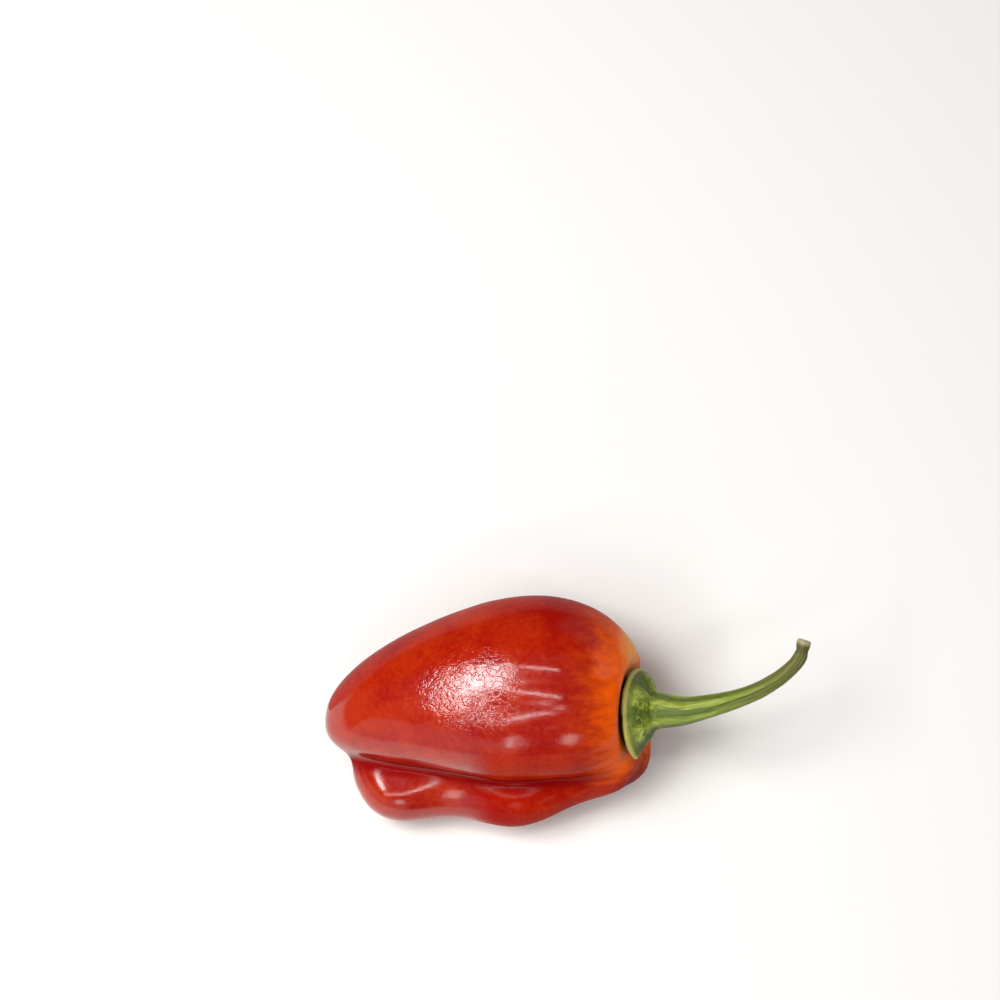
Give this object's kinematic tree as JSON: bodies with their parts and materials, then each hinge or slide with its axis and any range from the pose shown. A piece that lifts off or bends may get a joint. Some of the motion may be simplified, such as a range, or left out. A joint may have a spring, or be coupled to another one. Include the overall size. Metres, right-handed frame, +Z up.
{
  "type": "chilli pepper",
  "caption": "Lantern-shaped red chilli pepper lying on its side, with lobed and creased flesh, a green calyx and a curved ridged stalk.",
  "frame": {"origin": "on the surface that the pod rests on, under the middle of the bounding box", "axes": "+X along the fruit towards the stalk's end, +Y to the far side of the pod as it lies, +Z up"},
  "size_m": [0.0627, 0.0291, 0.0247],
  "materials": {
    "skin": "glossy waxy red skin, orange and tan round the calyx",
    "stalk": "matt green ridged stalk with a paler calyx rim"
  },
  "bodies": {
    "root": {"pod": "skin", "calyx_and_stalk": "stalk"}
  },
  "joints": []
}
